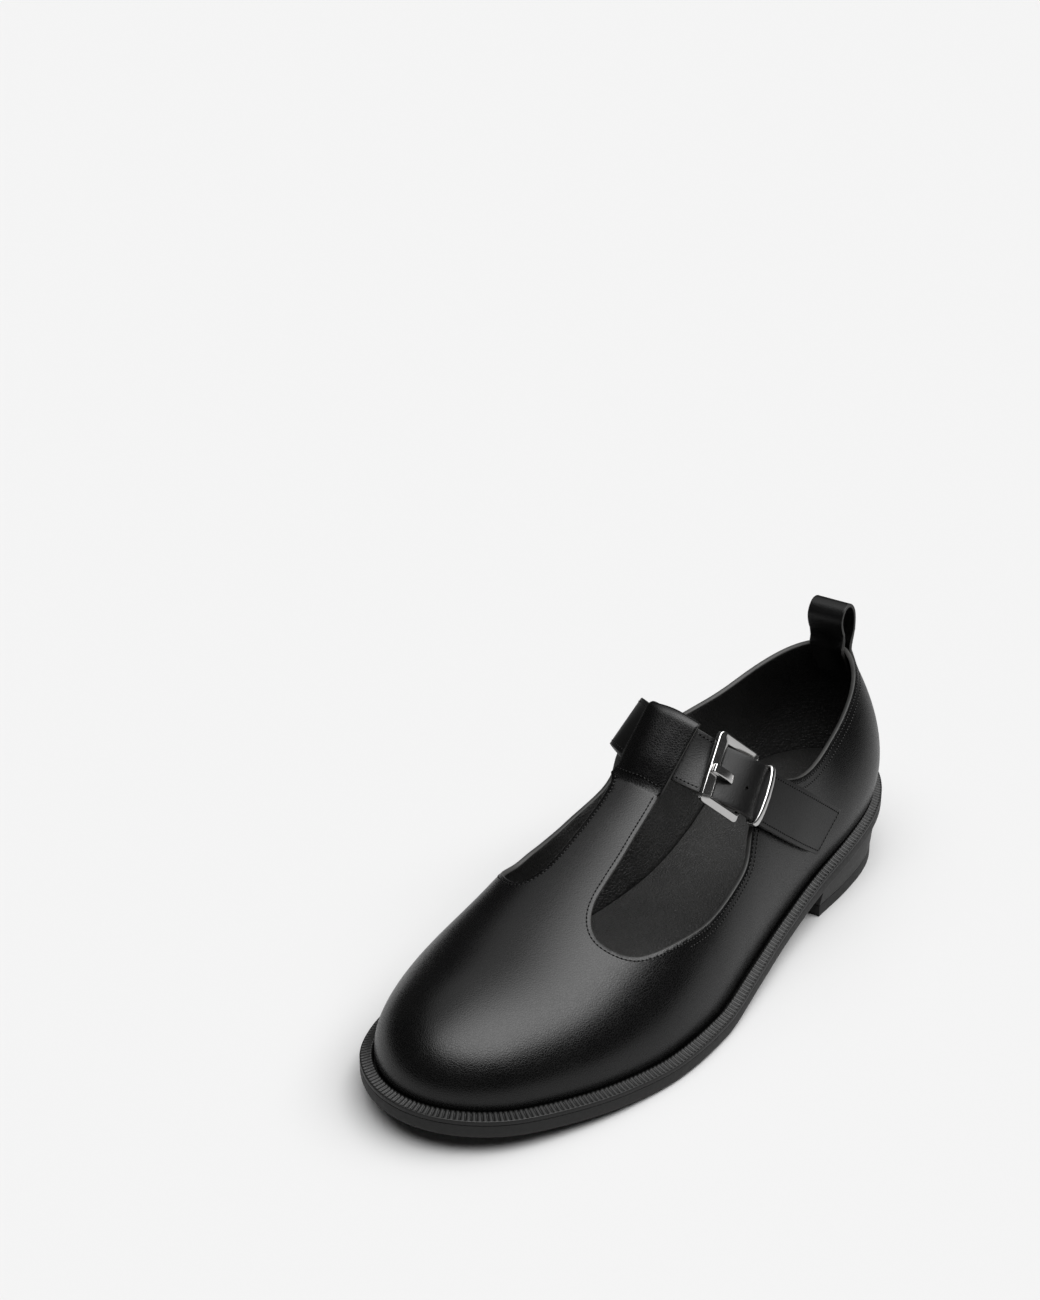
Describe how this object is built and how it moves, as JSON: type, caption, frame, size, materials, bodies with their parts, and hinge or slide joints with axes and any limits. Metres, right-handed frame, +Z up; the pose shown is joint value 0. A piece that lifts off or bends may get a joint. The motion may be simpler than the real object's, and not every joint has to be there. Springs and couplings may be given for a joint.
{
  "type": "mary jane shoe",
  "caption": "Left leather mary jane with a T-bar, cut-outs beside it, a buckled ankle strap, a ribbed welt and a low block heel.",
  "frame": {"origin": "middle of the shoe's box, on the floor it stands on", "axes": "+Z up, toe towards -Y, outer side of the left foot towards +X"},
  "size_m": [0.0952, 0.272, 0.0972],
  "materials": {
    "outsole": "matte dark rubber",
    "welt": "ribbed, semi-matte",
    "heel_block": "matte, faint stacked lines",
    "heel_tip": "matte",
    "insole": "fine grain, matte",
    "upper": "smooth black leather with a soft sheen",
    "ankle_strap": "smooth black leather",
    "buckle_frame": "polished nickel colour",
    "buckle_prong": "polished nickel colour",
    "buckle_keeper": "polished nickel colour",
    "pull_loop": "smooth black leather"
  },
  "bodies": {
    "root": {"outsole": "outsole", "welt": "welt", "heel_block": "heel_block", "heel_tip": "heel_tip", "insole": "insole", "upper": "upper", "ankle_strap": "ankle_strap", "buckle_frame": "buckle_frame", "buckle_prong": "buckle_prong", "buckle_keeper": "buckle_keeper", "pull_loop": "pull_loop"}
  },
  "joints": []
}
